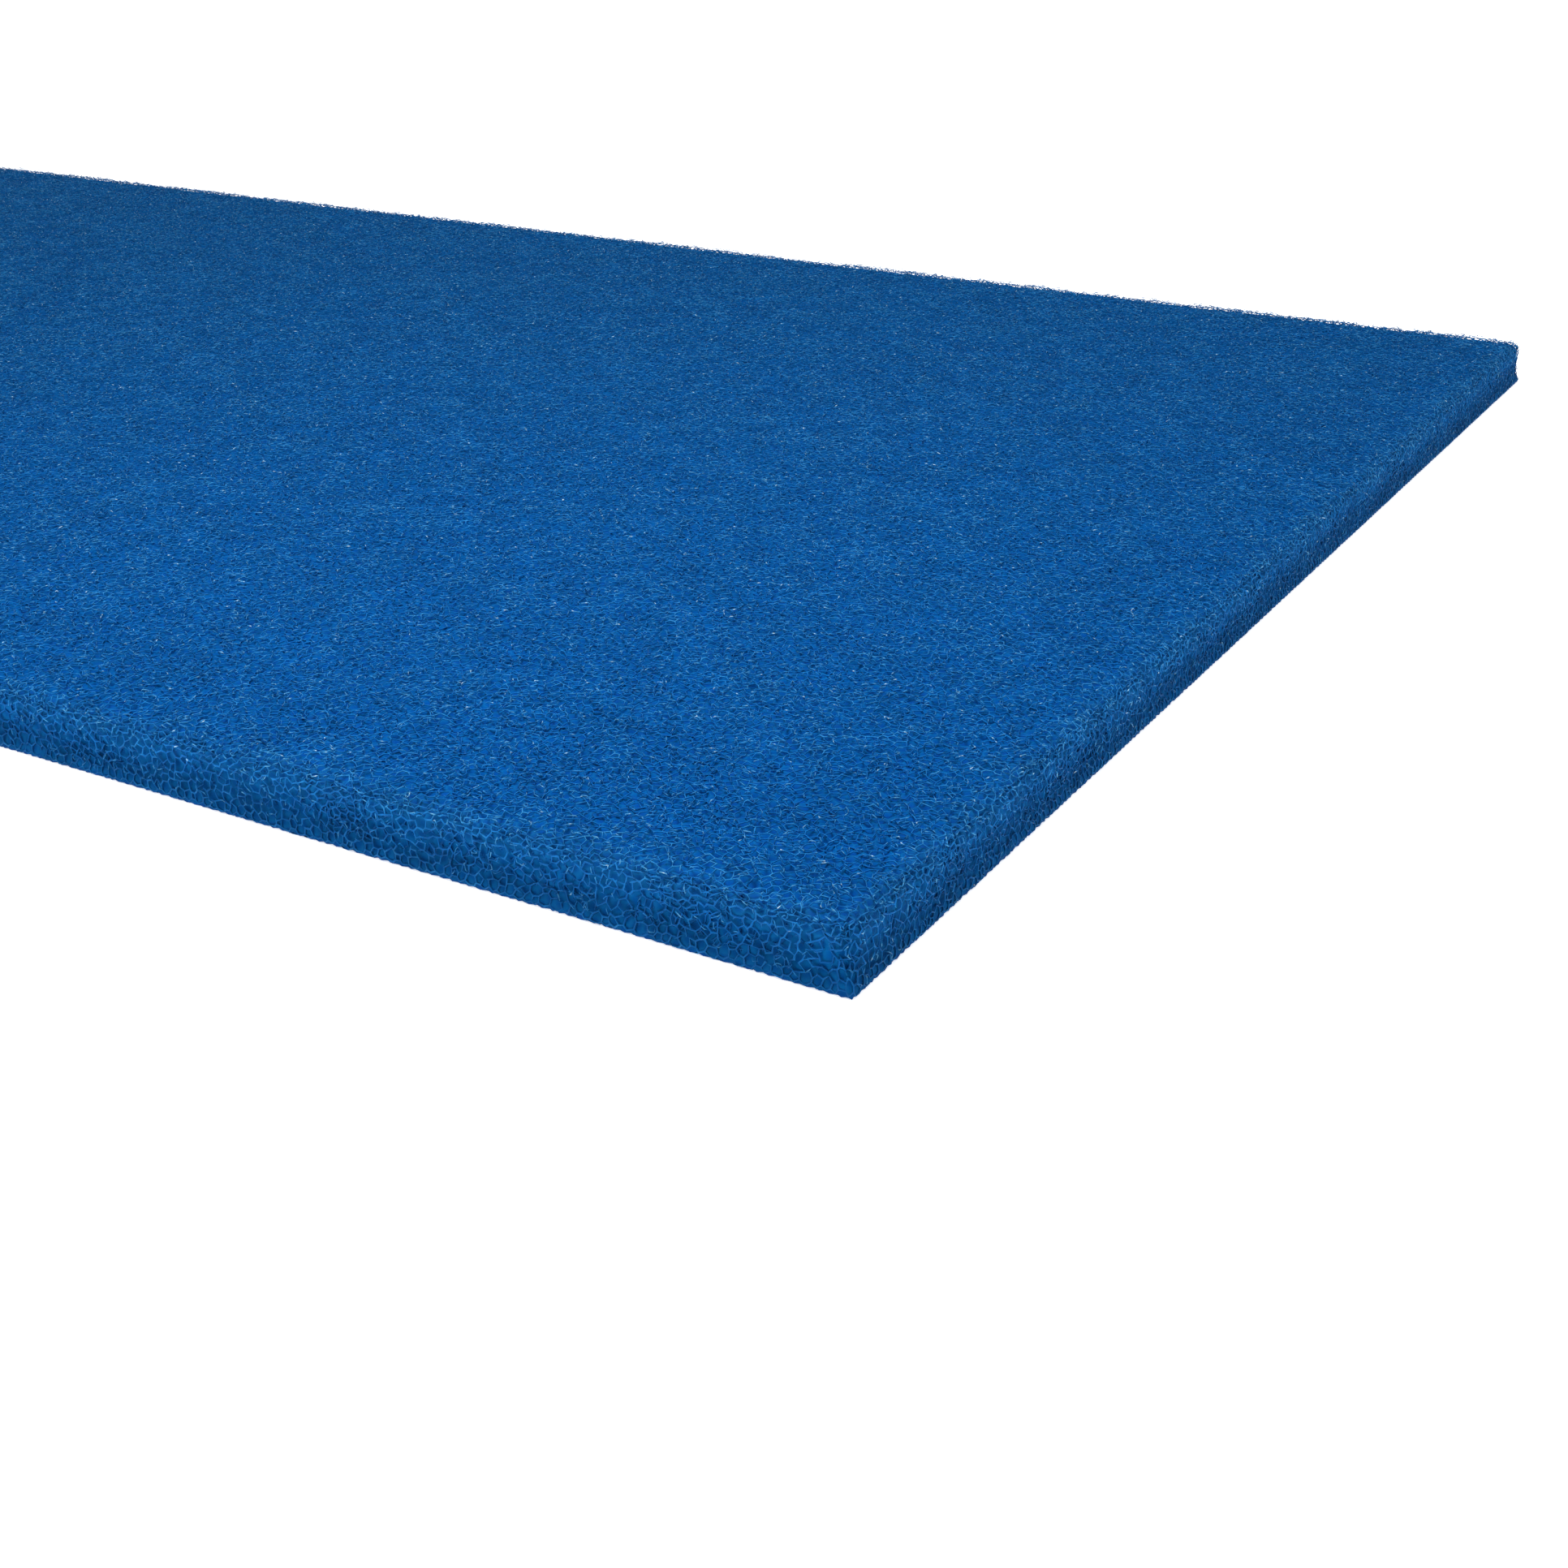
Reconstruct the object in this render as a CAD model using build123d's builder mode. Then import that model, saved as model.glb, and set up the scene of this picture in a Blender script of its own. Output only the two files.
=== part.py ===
from build123d import *
import os

# Filter foam sheet: one slab of reticulated (open-cell) polyurethane foam, knife-cut from a
# block. It lies flat on Z = 0, centred on the Z axis, with its length along X and its width
# along Y. All sizes are in millimetres.

sheet_length = 2000.0
sheet_width = 1000.0
sheet_thickness = 30.0

# Cut cells crumble and give way along an edge. The upper rim and the upright corners end softly
# rounded, and the lower edges, which lie on the cutting bed, stay nearly sharp.
corner_radius = 6.0
rim_radius = 5.0
foot_radius = 1.0

with BuildPart() as foam_sheet:
    with BuildSketch(Plane.XY):
        Rectangle(sheet_length, sheet_width)
    extrude(amount=sheet_thickness)
    fillet(foam_sheet.edges().filter_by(Axis.Z), radius=corner_radius)
    fillet(foam_sheet.edges().group_by(Axis.Z)[-1], radius=rim_radius)
    fillet(foam_sheet.edges().group_by(Axis.Z)[0], radius=foot_radius)

foam_sheet.part.label = "foam_sheet"

os.makedirs("parts", exist_ok=True)
export_step(foam_sheet.part, "parts/foam_sheet.step")
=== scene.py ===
"""A filter foam sheet: a slab of blue open-cell foam, its cut faces a net of fine struts over deep pores."""
import math
from types import SimpleNamespace

import bpy
import numpy as np
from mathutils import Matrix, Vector


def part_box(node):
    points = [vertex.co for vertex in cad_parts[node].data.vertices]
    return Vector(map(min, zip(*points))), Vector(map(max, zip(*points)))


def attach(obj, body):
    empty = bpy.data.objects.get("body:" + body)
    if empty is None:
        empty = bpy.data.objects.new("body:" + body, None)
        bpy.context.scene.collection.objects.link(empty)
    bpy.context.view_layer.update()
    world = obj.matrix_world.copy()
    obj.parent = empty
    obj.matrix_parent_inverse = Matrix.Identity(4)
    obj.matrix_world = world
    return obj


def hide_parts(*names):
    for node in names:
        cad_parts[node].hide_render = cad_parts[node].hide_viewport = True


MM = 0.001

# The slab's soft edges. The upright corners are nearly sharp at the foot and rounder above it.
TOP_ARRIS = 9.0 * MM
BOTTOM_ARRIS = 0.4 * MM
FOOT_CORNER_RADIUS = 1.5 * MM
CORNER_RADIUS = 10.0 * MM
FOOT_HEIGHT = 12.0 * MM

# The pattern of cells: a square lattice with edges turned, corners strayed and all relaxed.
CELL_PITCH = 3.9 * MM
LATTICE_JITTER = 0.42
FLIP_ROUNDS = 3
FLIP_SHARE = 0.5
RELAX_ROUNDS = 4
RELAX_STEP = 0.7
LEAST_NEIGHBOURS = 5
MOST_NEIGHBOURS = 8

# The struts between the cells, on the top and the four cut sides.
STRUT_HALF_WIDTH = 0.37 * MM
STRUT_WIDTH_SPREAD = 0.35
STRUT_HEIGHT = 0.40 * MM
NODE_SINK = 1.3 * MM
SINK_POWER = 1.5
NODE_SHIFT = 0.45 * MM
SWELL_HEIGHT = 1.2 * MM
SWELL_ROUNDS = 4
BROKEN_SHARE = 0.16
STUB_REACH = (0.15, 0.55)
STUB_LIFT = (-0.6 * MM, 0.9 * MM)
SIDE_STRUT_WIDTH = 1.4
UNDERSIDE_WRAP = 10.0 * MM

# The upright part of an outward direction: beyond LEVEL on a flat face, below -DROOPING toward the floor.
LEVEL = 0.9
DROOPING = 0.5

# Near the floor everything strays less, and nothing is cut or curls, so that the sheet rests evenly.
CALM_HEIGHT = 8.0 * MM
LEAST_CALM = 0.1
RAGGED_HEIGHT = 4.0 * MM

# A second net just behind the sides, seen through their open cells.
INNER_INSET = 1.5 * MM
INNER_PITCH = 4.8 * MM

# Rims of cut cells that stand up from the net as short curls.
TOP_CURL_SHARE = 0.36
SIDE_CURL_SHARE = 0.14
CURL_LIFT = (0.2 * MM, 1.6 * MM)
CURL_SWING = 0.8 * MM
CURL_REACH = (0.5, 1.0)
CURL_HALF_WIDTH = 0.25 * MM

# The pores behind the struts, and the plainer ones of the underside.
PORE_PITCH = 4.8 * MM
PORE_INSET = 2.1 * MM
BASE_PITCH = 8.0 * MM
RIDGE_SINK = 0.9 * MM
PORE_DEPTH = 2.2 * MM
PORE_DEPTH_SPREAD = 0.25
SIDE_PORE_DEPTH = 0.6

# Values of the "depth" attribute, or amounts added to it; the attribute carries painted shade, added on
# strut corners, sides and the inner net. 0 is a strut's pale crest, a painted highlight, and 1 a pore's deep
# floor in the darkest painted shade.
CORNER_SHADE = 0.3
STUB_SHADE = 0.1
SIDE_SHADE = 0.30
SIDE_PORE_SHADE = 0.4
INNER_SHADE = 0.4

# Pieces: how many columns and rows each layer is cut into. Pieces, each small enough
# for its mesh file.
NET_COLUMNS = 10
NET_ROWS = 2
INNER_COLUMNS = 2
CURL_COLUMNS = 7
CORE_COLUMNS = 4
BASE_COLUMNS = 2

# Each web of cells, and the random touches on it, has seeds of its own.
NET_SEEDS = (11, 5)
INNER_SEEDS = (14, 6)
CORE_SEEDS = (12, 3)
BASE_SEEDS = (13, 4)
CURL_SEED = 21

# Flat map positions, and the name of their layer.
UV_LAYER = "OFBake"
UNFOLD_MARGIN = 12.0 * MM

# Keeps a direction of no length from being divided by zero.
TINY = 1e-9

# Colours, from a painted glint on a cut rim that catches the light down to the painted shade on the floor of
# a pore.
RIM_SPARKLE = (0.500, 0.720, 0.880)
RIM_GLINT = (0.100, 0.340, 0.575)
STRUT_PALE = (0.027, 0.222, 0.500)
STRUT_LIGHT = (0.008, 0.164, 0.450)
STRUT_MIDDLE = (0.001, 0.126, 0.395)
STRUT_DEEP = (0.000, 0.100, 0.350)
PORE_RIDGE = (0.001, 0.098, 0.300)
PORE_WALL = (0.000, 0.080, 0.285)
PORE_FLOOR = (0.000, 0.062, 0.285)
SHEEN_TINT = (0.15, 0.70, 1.00, 1)

# Struts and pores run from painted highlight on the crests to painted shade in the hollows.
STRUT_STOPS = [(0.00, STRUT_PALE), (0.18, STRUT_LIGHT), (0.45, STRUT_MIDDLE), (1.00, STRUT_DEEP)]
PORE_STOPS = [(0.06, PORE_RIDGE), (0.20, PORE_WALL), (0.80, PORE_FLOOR)]
# Curls: a noise paints some paler and a few nearly white, as painted glints.
CURL_STOPS = [
    (0.36, STRUT_MIDDLE), (0.46, STRUT_LIGHT), (0.58, STRUT_PALE), (0.70, RIM_GLINT), (0.76, RIM_SPARKLE),
]

# Noises, as patches per metre and how many finer octaves each has.
BLOTCHES = (50, 2)
PEBBLES = (125, 1)
STRUT_PATCHES = (260, 1)
CURL_PATCHES = (420, 1)
WEAR_PATCHES = (500, 1)
SKIN_GRAIN = (1600, 2)
TONE_RANGE = (0.3, 0.7)
BLOTCH_STRENGTH = 0.06
PEBBLE_STRENGTH = 0.12
STRUT_RANGE = (0.35, 0.65)
STRUT_SHADE_SPREAD = 0.3
WEAR_RANGE = (0.4, 0.65)

# Gloss of the three surfaces. Roughness runs from sound to worn.
STRUT_ROUGHNESS = (0.85, 0.5)
CURL_ROUGHNESS = (0.5, 0.2)
PORE_ROUGHNESS = (0.9, 0.7)
STRUT_SPECULAR = 0.1
CURL_SPECULAR = 0.14
PORE_SPECULAR = 0.04
SHEEN_WEIGHT = 0.04
SHEEN_ROUGHNESS = 0.5
GRAIN_HEIGHT = 0.08 * MM
GRAIN_STRENGTH = 0.4

# Painted shade darkens the sides toward the foot, and a painted light rim runs round the top.
PAINTED_SHADE_GREYS = [(0.00, 0.63), (0.35, 0.77), (0.70, 1.02), (1.00, 1.00)]
PAINTED_RIM_LIGHT = (0.006, 0.020, 0.010)
PAINTED_RIM_LIGHT_REACH = (4.0 * MM, 16.0 * MM)

LENS = 48.17
SENSOR = 36.0
CAMERA_FROM_CORNER = (0.2967, -0.5541, 0.378)
CAMERA_DOWN = math.radians(25.10)
CAMERA_HEADING = math.radians(30.35)
CAMERA_NEAREST = 0.01

WHITE = (1, 1, 1, 1)
FLOOR_REACH = 30.0
FLOOR_DROP = 0.05 * MM
FLOOR_COLOUR = (0.95, 0.95, 0.95, 1)
FLOOR_GLOW = 0.6
FLOOR_ROUGHNESS = 0.9
SKY_STRENGTH = 0.8
LAMP_POWER = 7.2
LAMP_COLOUR = (0.88, 0.97, 1.08)
LAMP_SIZE = 0.5
LAMP_PLACE = Vector((0.74, -0.55, 0.95))
LAMP_AIM = Vector((0.72, -0.25, 0.03))


def box_lattice(low, high, pitch):
    """A closed skin of near-square quads over a box: points, which coordinates are fixed, and quads."""
    size = high - low
    steps = np.maximum(np.round(size / pitch).astype(int), 1)
    quads = []
    for across, along, through in ((0, 1, 2), (2, 0, 1), (1, 2, 0)):
        u, v = np.meshgrid(np.arange(steps[across]), np.arange(steps[along]), indexing="ij")
        for level, order in ((steps[through], (0, 1, 2, 3)), (0, (3, 2, 1, 0))):
            corners = np.zeros((u.size, 4, 3), int)
            for corner, (du, dv) in enumerate(((0, 0), (1, 0), (1, 1), (0, 1))):
                corners[:, corner, across] = u.ravel() + du
                corners[:, corner, along] = v.ravel() + dv
                corners[:, corner, through] = level
            quads.append(corners[:, order])
    quads = np.concatenate(quads)
    key = (quads[..., 0] * (steps[1] + 1) + quads[..., 1]) * (steps[2] + 1) + quads[..., 2]
    _, first, inverse = np.unique(key, return_index=True, return_inverse=True)
    places = quads.reshape(-1, 3)[first]
    fixed = (places == 0) | (places == steps)
    return low + places * (size / steps), fixed, inverse.reshape(-1, 4)


def split_quads(quads, rng):
    """Two triangles for each quad, cut along either diagonal at random."""
    other = (rng.random(len(quads)) < 0.5)[:, None]
    first = np.where(other, quads[:, [0, 1, 3]], quads[:, [0, 1, 2]])
    second = np.where(other, quads[:, [1, 2, 3]], quads[:, [0, 2, 3]])
    return np.concatenate([first, second])


def paired_sides(triangles, point_count):
    """Each edge of a closed skin as two triangle sides, numbered 3 * triangle + side."""
    start = triangles.ravel()
    end = np.roll(triangles, -1, axis=1).ravel()
    key = np.minimum(start, end) * point_count + np.maximum(start, end)
    return np.argsort(key, kind="stable").reshape(-1, 2)


def flip_some_edges(triangles, point_count, rng):
    """Turns a random, well-separated set of edges, taking no cell below five neighbours or above eight."""
    pairs = paired_sides(triangles, point_count)
    owner, side = pairs // 3, pairs % 3
    a = triangles[owner[:, 0], side[:, 0]]
    b = triangles[owner[:, 0], (side[:, 0] + 1) % 3]
    c = triangles[owner[:, 0], (side[:, 0] + 2) % 3]
    d = triangles[owner[:, 1], (side[:, 1] + 2) % 3]
    neighbours = np.bincount(triangles.ravel(), minlength=point_count)
    wanted = rng.random(len(pairs)) < FLIP_SHARE
    wanted &= (neighbours[a] > LEAST_NEIGHBOURS) & (neighbours[b] > LEAST_NEIGHBOURS)
    wanted &= (neighbours[c] < MOST_NEIGHBOURS) & (neighbours[d] < MOST_NEIGHBOURS) & (c != d)
    chosen = rng.permutation(np.flatnonzero(wanted))
    claim = np.full(point_count, -1)
    for point in (a, b, c, d):
        claim[point[chosen]] = chosen
    alone = np.ones(len(chosen), bool)
    for point in (a, b, c, d):
        alone &= claim[point[chosen]] == chosen
    flip = chosen[alone]
    turned = triangles.copy()
    turned[owner[flip, 0]] = np.stack([c[flip], d[flip], b[flip]], axis=1)
    turned[owner[flip, 1]] = np.stack([d[flip], c[flip], a[flip]], axis=1)
    return turned


def neighbour_mean(values, triangles):
    """The mean of each point's neighbours, for values of one or more columns."""
    start = triangles.ravel()
    end = np.roll(triangles, -1, axis=1).ravel()
    count = np.bincount(start, minlength=len(values))
    sums = [np.bincount(start, column[end], len(values)) for column in values.T]
    return np.stack(sums, axis=1) / count[:, None]


def onto_soft_slab(points, low, high):
    """Points moved onto a slab with rounded edges, and the outward direction at each."""
    height = points[:, 2]
    rise = np.clip((height - low[2]) / FOOT_HEIGHT, 0, 1)
    corner = FOOT_CORNER_RADIUS + (CORNER_RADIUS - FOOT_CORNER_RADIUS) * rise * rise * (3 - 2 * rise)
    core = np.clip(points[:, :2], low[:2] + corner[:, None], high[:2] - corner[:, None])
    away = points[:, :2] - core
    reach = np.linalg.norm(away, axis=1)
    heading = away / np.maximum(reach, TINY)[:, None]
    arris = np.where(height > (low[2] + high[2]) / 2, TOP_ARRIS, BOTTOM_ARRIS)
    arris = np.minimum(arris, corner)
    core_reach = np.minimum(reach, corner - arris)
    core_height = np.clip(height, low[2] + arris, high[2] - arris)
    out = np.stack([reach - core_reach, height - core_height], axis=1)
    out /= np.maximum(np.linalg.norm(out, axis=1, keepdims=True), TINY)
    reach, height = core_reach + out[:, 0] * arris, core_height + out[:, 1] * arris
    moved = np.column_stack([core + heading * reach[:, None], height])
    return moved, np.column_stack([heading * out[:, :1], out[:, 1]])


def cell_web(low, high, pitch, seed):
    """An irregular web of foam cells over a rounded box.

    cells are the cells' middles and nodes the points where three cells meet. node_cells names each node's
    three cells. A strut runs between two nodes, and strut_mouths says between which two of its cells it
    leaves each of them.
    """
    rng = np.random.default_rng(seed)
    points, fixed, quads = box_lattice(low, high, pitch)
    triangles = split_quads(quads, rng)
    for _ in range(FLIP_ROUNDS):
        triangles = flip_some_edges(triangles, len(points), rng)
    jitter = rng.uniform(-LATTICE_JITTER, LATTICE_JITTER, points.shape) * pitch
    points = points + np.where(fixed, 0, jitter)
    for _ in range(RELAX_ROUNDS):
        step = RELAX_STEP * (neighbour_mean(points, triangles) - points)
        points = points + np.where(fixed, 0, step)
    pairs = paired_sides(triangles, len(points))
    nodes, node_out = onto_soft_slab(points[triangles].mean(axis=1), low, high)
    cells, cell_out = onto_soft_slab(points, low, high)
    return SimpleNamespace(
        nodes=nodes, node_out=node_out, cells=cells, cell_out=cell_out,
        node_cells=triangles, strut_nodes=pairs // 3, strut_mouths=pairs % 3,
    )


def calmness(points):
    """The share of a displacement that each point keeps: little near the floor, all of it higher up."""
    return np.clip(points[:, 2:] / CALM_HEIGHT, LEAST_CALM, 1)


def from_top_to_side(outward, on_top, on_side):
    """A value for each point that changes from one on the flat faces to another on the upright ones."""
    side = 1 - np.abs(outward[:, 2:])
    return on_top + (on_side - on_top) * side


def soft_waves(web, rng):
    """A smooth random height for each node, from 0 to 1, that rises and falls over several cells."""
    height = rng.random((len(web.cells), 1))
    for _ in range(SWELL_ROUNDS):
        height = neighbour_mean(height, web.node_cells)
    order = height.ravel().argsort().argsort() / len(height)
    return order[web.node_cells].mean(axis=1, keepdims=True)


def without_out(vectors, outward):
    """The part of each vector that lies along the surface."""
    return vectors - outward * (vectors * outward).sum(axis=1, keepdims=True)


def net_points(web, rng):
    """Each node's crest, the three corners round it, and its painted shade from how deep it lies."""
    count = len(web.nodes)
    out = web.node_out
    sideways = without_out(rng.normal(size=(count, 3)), out) * NODE_SHIFT
    sink = NODE_SINK * rng.random((count, 1)) ** SINK_POWER + SWELL_HEIGHT * soft_waves(web, rng)
    calm = calmness(web.nodes)
    sink, sideways = sink * calm, sideways * calm
    # Painted shade: deeper nodes and nodes on the sides are darker.
    shade = sink / (NODE_SINK + SWELL_HEIGHT) + from_top_to_side(out, 0, SIDE_SHADE)
    crest = web.nodes + sideways - out * sink
    corners = []
    for k in range(3):
        way = without_out(web.cells[web.node_cells[:, k]] - crest, out)
        way /= np.linalg.norm(way, axis=1, keepdims=True)
        width = STRUT_HALF_WIDTH * rng.uniform(1 - STRUT_WIDTH_SPREAD, 1 + STRUT_WIDTH_SPREAD, (count, 1))
        width = width * from_top_to_side(out, 1, SIDE_STRUT_WIDTH)
        corners.append(crest + way * width - out * STRUT_HEIGHT)
    return crest, corners, shade.ravel()


def stub_tips(web, crest, broken, rng):
    """The free tips that a cut strut leaves at its two nodes."""
    ends = web.strut_nodes[broken]
    reach = rng.uniform(*STUB_REACH, (len(ends), 2, 1))
    span = crest[ends[:, ::-1]] - crest[ends]
    lift = rng.uniform(*STUB_LIFT, (len(ends), 2, 1))
    out = web.node_out[ends]
    faces_down = out[..., 2:] < -DROOPING
    lift = np.where(faces_down, np.minimum(lift, 0), lift)
    return (crest[ends] + span * reach + out * lift).reshape(-1, 3)


def strut_net(web, rng):
    """The whole net: its points, and for each strut the corners where it meets its two nodes."""
    count = len(web.nodes)
    crest, corners, shade = net_points(web, rng)
    broken = rng.random(len(web.strut_nodes)) < BROKEN_SHARE
    broken &= web.nodes[web.strut_nodes, 2].min(axis=1) > RAGGED_HEIGHT
    tips = stub_tips(web, crest, broken, rng)
    points = np.concatenate([crest, *corners, tips])
    # Painted shade: a node's corners are darker than its crest, and stub tips nearly as pale.
    depth = np.concatenate([shade, *[shade + CORNER_SHADE] * 3, np.full(len(tips), STUB_SHADE)])

    def corner(node, k):
        """The number of a node's corner that lies toward its cell k."""
        return count * (1 + k % 3) + node

    node, mouth = web.strut_nodes, web.strut_mouths
    left, right = corner(node, mouth), corner(node, mouth + 1)
    tip = np.full(node.shape, -1)
    tip[broken] = 4 * count + np.arange(2 * broken.sum()).reshape(-1, 2)
    return SimpleNamespace(
        points=points, depth=depth, broken=broken, node=node, left=left, right=right, tip=tip, count=count,
    )


def net_faces(net, mine):
    """The closed faces of one piece of the net, from which of the nodes are its own."""
    first, second = net.node[:, 0], net.node[:, 1]
    has_first, has_second = mine[first], mine[second]
    whole = ~net.broken & has_first
    r, a, b = net.node[whole], net.left[whole], net.right[whole]
    quads = np.concatenate([
        np.stack([r[:, 0], a[:, 0], b[:, 1], r[:, 1]], axis=1),
        np.stack([r[:, 1], a[:, 1], b[:, 0], r[:, 0]], axis=1),
        np.stack([a[:, 0], b[:, 0], a[:, 1], b[:, 1]], axis=1),
    ])
    loose = whole & ~has_second
    r, a, b = net.node[loose, 1], net.left[loose, 1], net.right[loose, 1]
    triangles = [np.stack([r, b, a], axis=1)]
    shut = ~net.broken & ~has_first & has_second
    r, a, b = net.node[shut, 1], net.left[shut, 1], net.right[shut, 1]
    triangles.append(np.stack([r, a, b], axis=1))
    for end, has in ((0, has_first), (1, has_second)):
        cut = net.broken & has
        r, a, b, tip = net.node[cut, end], net.left[cut, end], net.right[cut, end], net.tip[cut, end]
        for p, q in ((r, a), (a, b), (b, r)):
            triangles.append(np.stack([p, q, tip], axis=1))
    own = np.flatnonzero(mine)
    triangles.append(np.stack([net.count * 3 + own, net.count * 2 + own, net.count + own], axis=1))
    return quads, np.concatenate(triangles)


def curl_lines(web, net, chosen, rng):
    """For each chosen node, the four points of a thread that arches over it between two of its struts."""
    neighbour = np.zeros((net.count, 3), int)
    for end in (0, 1):
        neighbour[web.strut_nodes[:, end], web.strut_mouths[:, end]] = web.strut_nodes[:, 1 - end]
    turn = rng.integers(0, 3, len(chosen))
    crest = net.points[: net.count]
    middle = crest[chosen]
    ends = []
    for step in (0, 1):
        toward = crest[neighbour[chosen, (turn + step) % 3]] - middle
        ends.append(middle + toward * rng.uniform(*CURL_REACH, (len(chosen), 1)))
    start, end = ends
    out = web.node_out[chosen]
    rise = out * rng.uniform(*CURL_LIFT, (len(chosen), 1))
    rise = rise + without_out(rng.normal(size=(len(chosen), 3)), out) * CURL_SWING
    return [start, (start * 2 + middle) / 3 + rise, (end * 2 + middle) / 3 + rise, end]


def curl_mesh(line, outward):
    """Closed three-sided threads along the lines, pointed at both ends.

    A thread's points are one tip (0), its two rings (1 to 3 and 4 to 6) and the other tip (7).
    """
    rings = []
    for before, here, after in zip(line, line[1:], line[2:]):
        along = after - before
        side = np.cross(along, outward)
        side /= np.linalg.norm(side, axis=1, keepdims=True)
        lift = np.cross(side, along)
        lift /= np.linalg.norm(lift, axis=1, keepdims=True)
        for angle in (90, 210, 330):
            turned = lift * math.sin(math.radians(angle)) + side * math.cos(math.radians(angle))
            rings.append(here + turned * CURL_HALF_WIDTH)
    points = np.stack([line[0], *rings, line[-1]], axis=1)
    faces = []
    for k in range(3):
        after = (k + 1) % 3
        faces.append((0, 1 + after, 1 + k))
        faces.append((1 + k, 1 + after, 4 + k))
        faces.append((1 + after, 4 + after, 4 + k))
        faces.append((4 + k, 4 + after, 7))
    starts = points.shape[1] * np.arange(len(points))
    return points.reshape(-1, 3), (np.array(faces) + starts[:, None, None]).reshape(-1, 3)


def pore_skin(web, inset, rng):
    """Pores as one skin: a ridge between neighbouring cells and a deep point in each, sunk by the inset."""
    def sunk(points, out, depth):
        """The points pushed inward by the inset and the depth."""
        return points - out * (inset + depth) * calmness(points)

    ridge = sunk(web.nodes, web.node_out, RIDGE_SINK * rng.random((len(web.nodes), 1)))
    spread = rng.uniform(1 - PORE_DEPTH_SPREAD, 1 + PORE_DEPTH_SPREAD, (len(web.cells), 1))
    depth = PORE_DEPTH * spread * from_top_to_side(web.cell_out, 1, SIDE_PORE_DEPTH)
    floor = sunk(web.cells, web.cell_out, depth)
    points = np.concatenate([ridge, floor])
    # Painted shade: pore floors are darkest, less so on the sides; ridges are pale.
    floor_painted_shade = from_top_to_side(web.cell_out, 1, SIDE_PORE_SHADE).ravel()
    shade = np.concatenate([np.zeros(len(ridge)), floor_painted_shade])
    node, mouth = web.strut_nodes, web.strut_mouths
    one = web.node_cells[node[:, 0], mouth[:, 0]] + len(ridge)
    other = web.node_cells[node[:, 0], (mouth[:, 0] + 1) % 3] + len(ridge)
    faces = np.concatenate([
        np.stack([node[:, 0], one, node[:, 1]], axis=1),
        np.stack([node[:, 1], other, node[:, 0]], axis=1),
    ])
    return points, faces, shade


def unfolded(points, low, high):
    """Flat map positions: the top as it is, with the sides folded out round it."""
    inner_low, inner_high = low[:2] + UNFOLD_MARGIN, high[:2] - UNFOLD_MARGIN
    away = points[:, :2] - np.clip(points[:, :2], inner_low, inner_high)
    return points[:, :2] + away / UNFOLD_MARGIN * (high[2] - points[:, 2:])


def mesh_piece(name, points, face_groups, flat, material, depth):
    """A smooth-shaded object of the given faces, using only the points that they need."""
    used = np.unique(np.concatenate([faces.ravel() for faces in face_groups]))
    renumber = np.full(len(points), -1)
    renumber[used] = np.arange(len(used))
    loops = renumber[np.concatenate([faces.ravel() for faces in face_groups])].astype(np.int32)
    sizes = np.concatenate([np.full(len(faces), faces.shape[1]) for faces in face_groups])
    starts = np.concatenate([[0], np.cumsum(sizes)[:-1]]).astype(np.int32)
    mesh = bpy.data.meshes.new(name)
    mesh.vertices.add(len(used))
    mesh.vertices.foreach_set("co", points[used].astype(np.float32).ravel())
    mesh.loops.add(len(loops))
    mesh.loops.foreach_set("vertex_index", loops)
    mesh.polygons.add(len(starts))
    mesh.polygons.foreach_set("loop_start", starts)
    mesh.update(calc_edges=True)
    mesh.shade_smooth()
    flat = flat[used]
    flat = (flat - flat.min(axis=0)) / (flat.max(axis=0) - flat.min(axis=0))
    uv = mesh.uv_layers.new(name=UV_LAYER)
    uv.data.foreach_set("uv", flat[loops].astype(np.float32).ravel())
    layer = mesh.attributes.new("depth", "FLOAT", "POINT")
    layer.data.foreach_set("value", depth[used].astype(np.float32))
    mesh.materials.append(material)
    piece = bpy.data.objects.new(name, mesh)
    bpy.context.scene.collection.objects.link(piece)
    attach(piece, "root")
    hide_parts("foam_sheet")


def split_along(values, low, high, count):
    """Which of a row of equal spans each value falls in."""
    share = (values - low) / (high - low)
    return np.clip((share * count).astype(int), 0, count - 1)


def inner_underside(web, low, high, margin):
    """The nodes on the underside that lie further in from its edges than the margin."""
    from_side = np.minimum(web.nodes[:, :2] - low[:2], high[:2] - web.nodes[:, :2]).min(axis=1)
    faces_down = web.node_out[:, 2] < -LEVEL
    return faces_down & (from_side > margin)


def make_net(web, net, low, high, material):
    """The struts on the top, the sides and a margin of the underside."""
    flat = unfolded(net.points, low, high)
    shown = ~inner_underside(web, low, high, UNDERSIDE_WRAP)
    column = split_along(web.nodes[:, 0], low[0], high[0], NET_COLUMNS)
    row = split_along(web.nodes[:, 1], low[1], high[1], NET_ROWS)
    for i in range(NET_COLUMNS):
        for j in range(NET_ROWS):
            faces = net_faces(net, shown & (column == i) & (row == j))
            mesh_piece(f"foam_net_c{i + 1}_r{j + 1}", net.points, faces, flat, material, net.depth)


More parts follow.
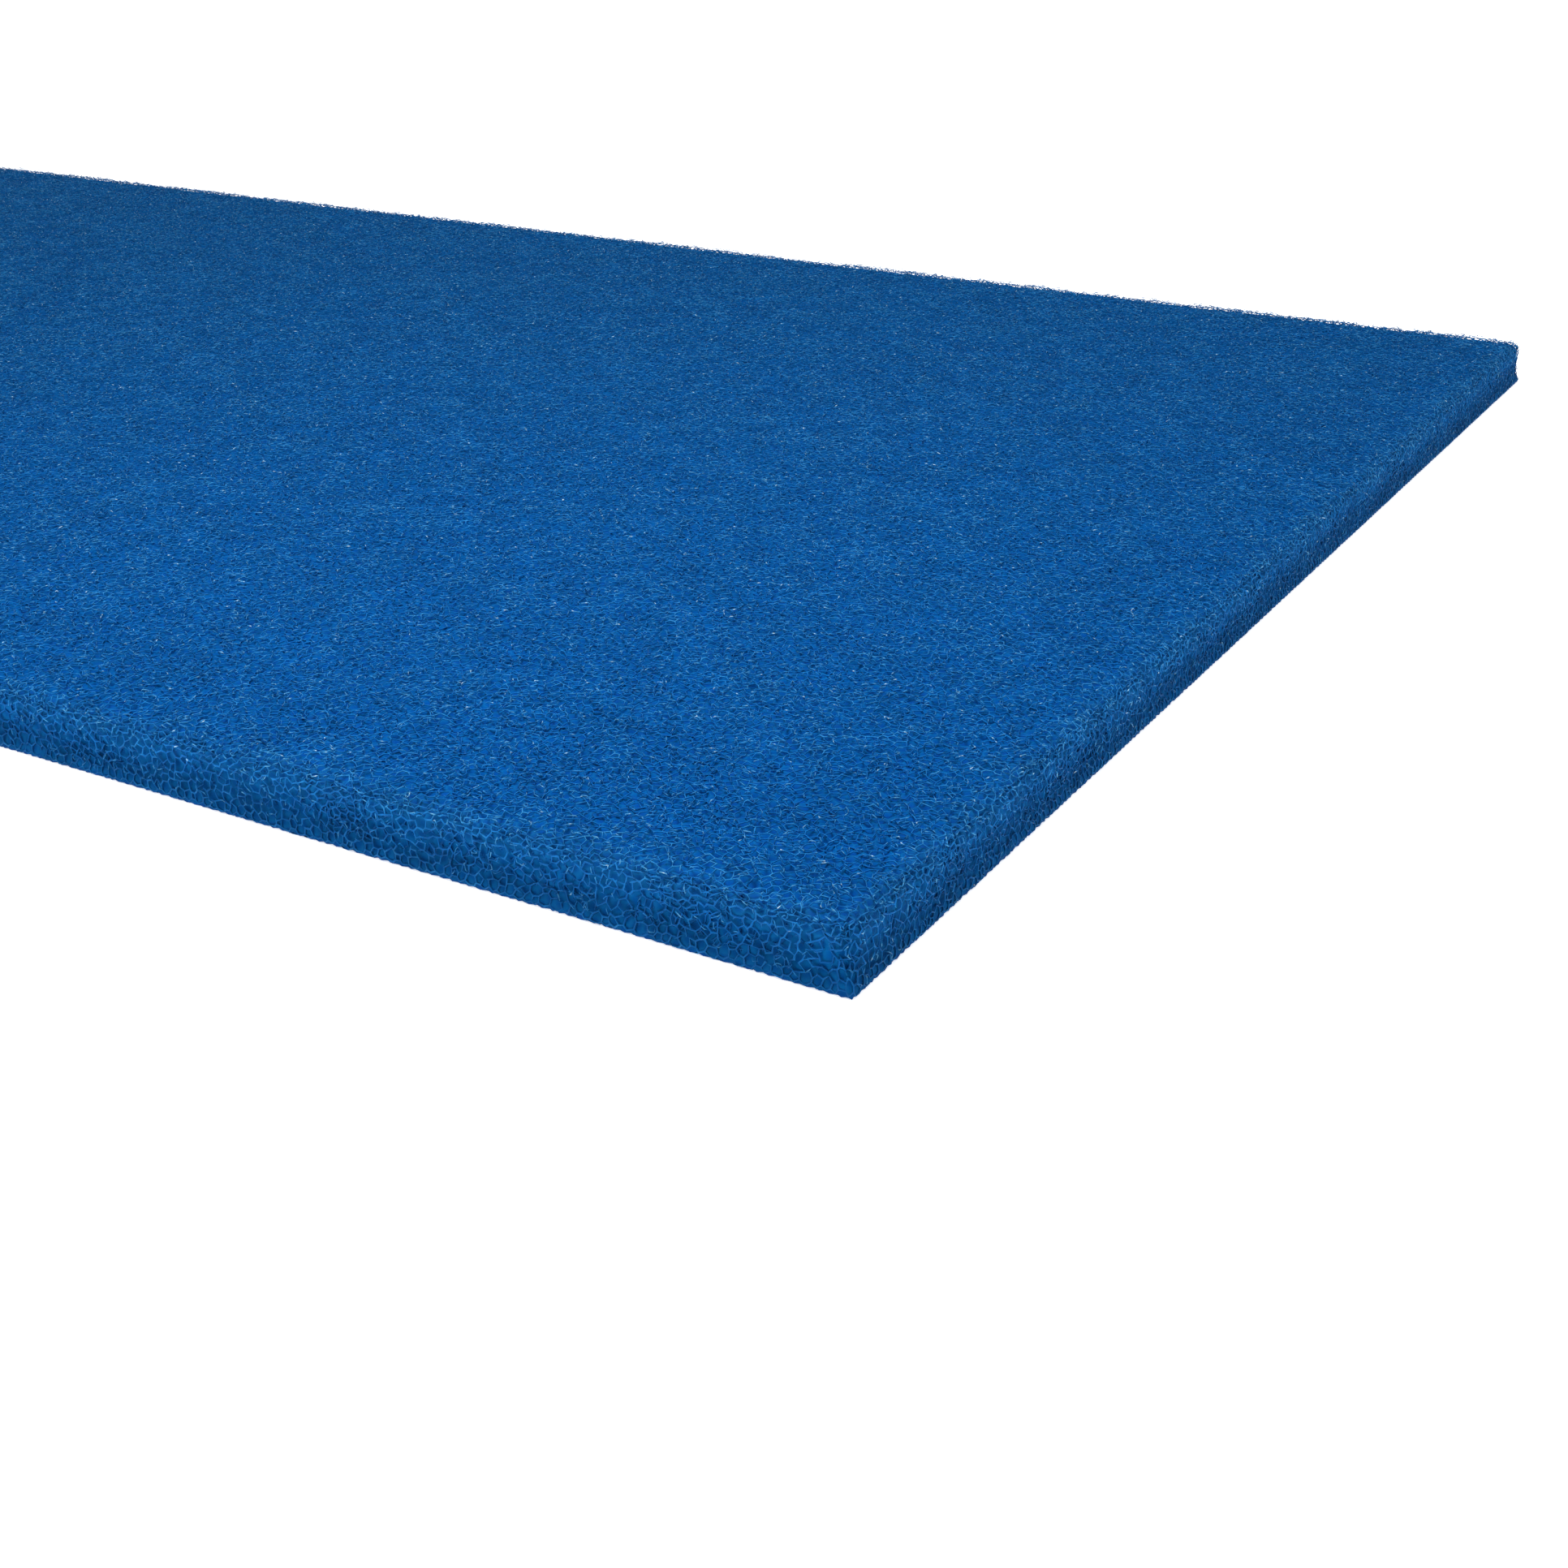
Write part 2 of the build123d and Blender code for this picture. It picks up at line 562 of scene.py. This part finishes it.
def make_inner_net(low, high, material):
    """A second net behind the sides, seen through their open cells."""
    web_seed, touch_seed = INNER_SEEDS
    web = cell_web(low + INNER_INSET, high - INNER_INSET, INNER_PITCH, web_seed)
    net = strut_net(web, np.random.default_rng(touch_seed))
    flat = unfolded(net.points, low, high)
    upright = np.abs(web.node_out[:, 2]) < LEVEL
    column = split_along(web.nodes[:, 0], low[0], high[0], INNER_COLUMNS)
    for i in range(INNER_COLUMNS):
        faces = net_faces(net, upright & (column == i))
        # The inner net is painted in deeper shade than the outer one.
        mesh_piece(f"foam_inner_net_c{i + 1}", net.points, faces, flat, material, net.depth + INNER_SHADE)


def make_curls(web, net, low, high, material):
    """Curled rims of cut cells, many on the top and fewer on the sides."""
    rng = np.random.default_rng(CURL_SEED)
    upper = np.flatnonzero(web.nodes[:, 2] > RAGGED_HEIGHT)
    share = from_top_to_side(web.node_out[upper], TOP_CURL_SHARE, SIDE_CURL_SHARE).ravel()
    chosen = upper[rng.random(len(upper)) < share]
    column = split_along(web.nodes[chosen, 0], low[0], high[0], CURL_COLUMNS)
    for i in range(CURL_COLUMNS):
        mine = chosen[column == i]
        points, faces = curl_mesh(curl_lines(web, net, mine, rng), web.node_out[mine])
        flat = unfolded(points, low, high)
        mesh_piece(f"foam_curls_c{i + 1}", points, [faces], flat, material, np.zeros(len(points)))


def make_core(low, high, material):
    """The pores behind the net, which on the underside reach in far enough to lie behind the base's rim."""
    web_seed, touch_seed = CORE_SEEDS
    web = cell_web(low, high, PORE_PITCH, web_seed)
    points, faces, depth = pore_skin(web, PORE_INSET, np.random.default_rng(touch_seed))
    flat = unfolded(points, low, high)
    column = split_along(web.nodes[faces[:, 0], 0], low[0], high[0], CORE_COLUMNS)
    covered = ~inner_underside(web, low, high, UNDERSIDE_WRAP + BASE_PITCH)[faces[:, 0]]
    for i in range(CORE_COLUMNS):
        mesh_piece(f"foam_core_c{i + 1}", points, [faces[covered & (column == i)]], flat, material, depth)


def make_base(low, high, material):
    """The plainer pores of the underside."""
    web_seed, touch_seed = BASE_SEEDS
    web = cell_web(low, high, BASE_PITCH, web_seed)
    points, faces, depth = pore_skin(web, 0, np.random.default_rng(touch_seed))
    flat = unfolded(points, low, high)
    column = split_along(web.nodes[faces[:, 0], 0], low[0], high[0], BASE_COLUMNS)
    under = inner_underside(web, low, high, UNDERSIDE_WRAP)[faces[:, 0]]
    for i in range(BASE_COLUMNS):
        mesh_piece(f"foam_base_c{i + 1}", points, [faces[under & (column == i)]], flat, material, depth)


def new_material(name):
    """A new material, with its node tree and its shader."""
    material = bpy.data.materials.new(name)
    material.use_nodes = True
    tree = material.node_tree
    return material, tree, tree.nodes["Principled BSDF"]


def plug(tree, socket, value):
    """Sets a socket to a number, or links it to another socket."""
    if isinstance(value, bpy.types.NodeSocket):
        tree.links.new(value, socket)
    else:
        socket.default_value = value


def calculated(tree, kind, operation, first, second=0.0):
    """The result of one sum: kind is Math for numbers or VectorMath for colours."""
    node = tree.nodes.new(f"ShaderNode{kind}")
    node.operation = operation
    plug(tree, node.inputs[0], first)
    plug(tree, node.inputs[1], second)
    return node.outputs[0]


def noise(tree, patches):
    """Noise over the object's own coordinates."""
    place = tree.nodes.new("ShaderNodeTexCoord")
    texture = tree.nodes.new("ShaderNodeTexNoise")
    texture.inputs["Scale"].default_value, texture.inputs["Detail"].default_value = patches
    tree.links.new(place.outputs["Object"], texture.inputs["Vector"])
    return texture.outputs["Fac"]


def ramp(tree, value, stops):
    """A colour ramp through (position, colour) stops."""
    node = tree.nodes.new("ShaderNodeValToRGB")
    elements = node.color_ramp.elements
    while len(elements) < len(stops):
        elements.new(0.5)
    for element, (position, colour) in zip(elements, stops):
        element.position = position
        element.color = (*colour, 1)
    tree.links.new(value, node.inputs["Fac"])
    return node.outputs["Color"]


def rescale(tree, value, source, target):
    """A value carried from one range to another, and kept inside it."""
    node = tree.nodes.new("ShaderNodeMapRange")
    node.inputs["From Min"].default_value, node.inputs["From Max"].default_value = source
    node.inputs["To Min"].default_value, node.inputs["To Max"].default_value = target
    tree.links.new(value, node.inputs["Value"])
    return node.outputs["Result"]


def depth_of(tree):
    """The painted shade that the mesh carries, from pale crest to dark hollow."""
    attribute = tree.nodes.new("ShaderNodeAttribute")
    attribute.attribute_name = "depth"
    return attribute.outputs["Fac"]


def place_of(tree):
    """The object's own x, y and z."""
    place = tree.nodes.new("ShaderNodeTexCoord")
    split = tree.nodes.new("ShaderNodeSeparateXYZ")
    tree.links.new(place.outputs["Object"], split.inputs["Vector"])
    return split.outputs["X"], split.outputs["Y"], split.outputs["Z"]


def rim_nearness(tree, high):
    """Where the painted light rim lies: from 0 on the open faces to 1 along the upper rim of a sheet centred
    on the Z axis.
    """
    x, y, z = place_of(tree)
    from_end = calculated(tree, "Math", "SUBTRACT", high[0], calculated(tree, "Math", "ABSOLUTE", x))
    from_side = calculated(tree, "Math", "SUBTRACT", high[1], calculated(tree, "Math", "ABSOLUTE", y))
    from_top = calculated(tree, "Math", "SUBTRACT", high[2], z)
    inward = calculated(tree, "Math", "MINIMUM", from_end, from_side)
    return rescale(tree, calculated(tree, "Math", "ADD", inward, from_top), PAINTED_RIM_LIGHT_REACH, (1, 0))


def toned(tree, colour, low, high):
    """The colour with slow changes: blotches and pebbles of tone, painted shade on the sides toward the foot
    and a painted light rim.
    """
    for patches, strength in ((BLOTCHES, BLOTCH_STRENGTH), (PEBBLES, PEBBLE_STRENGTH)):
        shade = rescale(tree, noise(tree, patches), TONE_RANGE, (1 - strength, 1 + strength))
        colour = calculated(tree, "VectorMath", "MULTIPLY", colour, shade)
    # Painted shade: the colour darkens toward the foot of the sides.
    height = rescale(tree, place_of(tree)[2], (low[2], high[2]), (0, 1))
    painted_shade_toward_foot = ramp(tree, height, [(position, (grey, grey, grey)) for position, grey in PAINTED_SHADE_GREYS])
    colour = calculated(tree, "VectorMath", "MULTIPLY", colour, painted_shade_toward_foot)
    # Painted light: a paler rim along the top edges.
    tint = ramp(tree, rim_nearness(tree, high), [(0, (0, 0, 0)), (1, PAINTED_RIM_LIGHT)])
    return calculated(tree, "VectorMath", "ADD", colour, tint)


def roughen(tree, shader, roughness):
    """Uneven gloss from wear, and a fine grain on the skin."""
    wear = rescale(tree, noise(tree, WEAR_PATCHES), WEAR_RANGE, roughness)
    tree.links.new(wear, shader.inputs["Roughness"])
    bump = tree.nodes.new("ShaderNodeBump")
    bump.inputs["Strength"].default_value = GRAIN_STRENGTH
    bump.inputs["Distance"].default_value = GRAIN_HEIGHT
    tree.links.new(noise(tree, SKIN_GRAIN), bump.inputs["Height"])
    tree.links.new(bump.outputs["Normal"], shader.inputs["Normal"])


def strut_material(low, high):
    """Struts: a painted highlight, pale along the crests, and painted shade, deeper blue below, with a faint
    sheen.
    """
    material, tree, shader = new_material("foam_strut")
    spread = (-STRUT_SHADE_SPREAD, STRUT_SHADE_SPREAD)
    shift = rescale(tree, noise(tree, STRUT_PATCHES), STRUT_RANGE, spread)
    shade = calculated(tree, "Math", "ADD", depth_of(tree), shift)
    tree.links.new(toned(tree, ramp(tree, shade, STRUT_STOPS), low, high), shader.inputs["Base Color"])
    roughen(tree, shader, STRUT_ROUGHNESS)
    shader.inputs["Specular IOR Level"].default_value = STRUT_SPECULAR
    shader.inputs["Sheen Weight"].default_value = SHEEN_WEIGHT
    shader.inputs["Sheen Roughness"].default_value = SHEEN_ROUGHNESS
    shader.inputs["Sheen Tint"].default_value = SHEEN_TINT
    return material


def curl_material(low, high):
    """Curled rims: mostly light blue, paler than the struts as a painted highlight, and a few painted nearly
    white as glints where they catch the light.
    """
    material, tree, shader = new_material("foam_curl")
    colour = ramp(tree, noise(tree, CURL_PATCHES), CURL_STOPS)
    tree.links.new(toned(tree, colour, low, high), shader.inputs["Base Color"])
    roughen(tree, shader, CURL_ROUGHNESS)
    shader.inputs["Specular IOR Level"].default_value = CURL_SPECULAR
    return material


def pore_material(low, high):
    """Pores: dull, with painted shade darker toward the floor of each."""
    material, tree, shader = new_material("foam_pore")
    colour = ramp(tree, depth_of(tree), PORE_STOPS)
    tree.links.new(toned(tree, colour, low, high), shader.inputs["Base Color"])
    roughen(tree, shader, PORE_ROUGHNESS)
    shader.inputs["Specular IOR Level"].default_value = PORE_SPECULAR
    return material


def make_camera(low, high):
    """The camera, placed from the sheet's nearest lower corner."""
    data = bpy.data.cameras.new("camera")
    data.sensor_width = SENSOR
    data.lens = LENS
    data.clip_start = CAMERA_NEAREST
    camera = bpy.data.objects.new("camera", data)
    near_corner = Vector((high[0], low[1], low[2]))
    camera.location = near_corner + Vector(CAMERA_FROM_CORNER)
    camera.rotation_euler = (math.pi / 2 - CAMERA_DOWN, 0, CAMERA_HEADING)
    bpy.context.scene.collection.objects.link(camera)
    bpy.context.scene.camera = camera


def make_floor(low):
    """A plain pale floor that glows a little, so that it stays white under the sheet's edge."""
    mesh = bpy.data.meshes.new("floor")
    corners = [(-FLOOR_REACH, -FLOOR_REACH, 0), (FLOOR_REACH, -FLOOR_REACH, 0)]
    corners += [(FLOOR_REACH, FLOOR_REACH, 0), (-FLOOR_REACH, FLOOR_REACH, 0)]
    mesh.from_pydata(corners, [], [(0, 1, 2, 3)])
    floor = bpy.data.objects.new("floor", mesh)
    floor.location.z = low[2] - FLOOR_DROP
    bpy.context.scene.collection.objects.link(floor)
    material, _, shader = new_material("floor")
    shader.inputs["Base Color"].default_value = FLOOR_COLOUR
    shader.inputs["Emission Color"].default_value = WHITE
    shader.inputs["Emission Strength"].default_value = FLOOR_GLOW
    shader.inputs["Roughness"].default_value = FLOOR_ROUGHNESS
    mesh.materials.append(material)


def make_sky():
    """An even white sky."""
    world = bpy.data.worlds.new("sky")
    world.use_nodes = True
    sky = world.node_tree.nodes["Background"]
    sky.inputs["Color"].default_value = WHITE
    sky.inputs["Strength"].default_value = SKY_STRENGTH
    bpy.context.scene.world = world


def make_lamp():
    """A soft round lamp, higher than the sheet."""
    data = bpy.data.lights.new("soft_lamp", "AREA")
    data.shape = "DISK"
    data.size = LAMP_SIZE
    data.energy = LAMP_POWER
    data.color = LAMP_COLOUR
    lamp = bpy.data.objects.new("soft_lamp", data)
    lamp.location = LAMP_PLACE
    lamp.rotation_euler = (LAMP_PLACE - LAMP_AIM).to_track_quat("Z", "Y").to_euler()
    bpy.context.scene.collection.objects.link(lamp)


def make_foam(low, high):
    """The foam in its layers: net, inner net, curls, pores and underside."""
    web_seed, touch_seed = NET_SEEDS
    web = cell_web(low, high, CELL_PITCH, web_seed)
    net = strut_net(web, np.random.default_rng(touch_seed))
    struts = strut_material(low, high)
    pores = pore_material(low, high)
    make_net(web, net, low, high, struts)
    make_inner_net(low, high, struts)
    make_curls(web, net, low, high, curl_material(low, high))
    make_core(low, high, pores)
    make_base(low, high, pores)


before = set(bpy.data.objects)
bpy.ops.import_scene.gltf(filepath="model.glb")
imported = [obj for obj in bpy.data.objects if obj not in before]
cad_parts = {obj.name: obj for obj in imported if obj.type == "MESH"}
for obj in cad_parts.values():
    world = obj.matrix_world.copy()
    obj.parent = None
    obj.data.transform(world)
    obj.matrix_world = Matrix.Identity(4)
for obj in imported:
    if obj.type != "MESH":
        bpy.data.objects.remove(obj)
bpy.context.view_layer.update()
sheet_low, sheet_high = (np.array(corner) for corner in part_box("foam_sheet"))

make_camera(sheet_low, sheet_high)
make_floor(sheet_low)
make_sky()
make_lamp()
make_foam(sheet_low, sheet_high)
bpy.context.scene.view_settings.view_transform = "Standard"
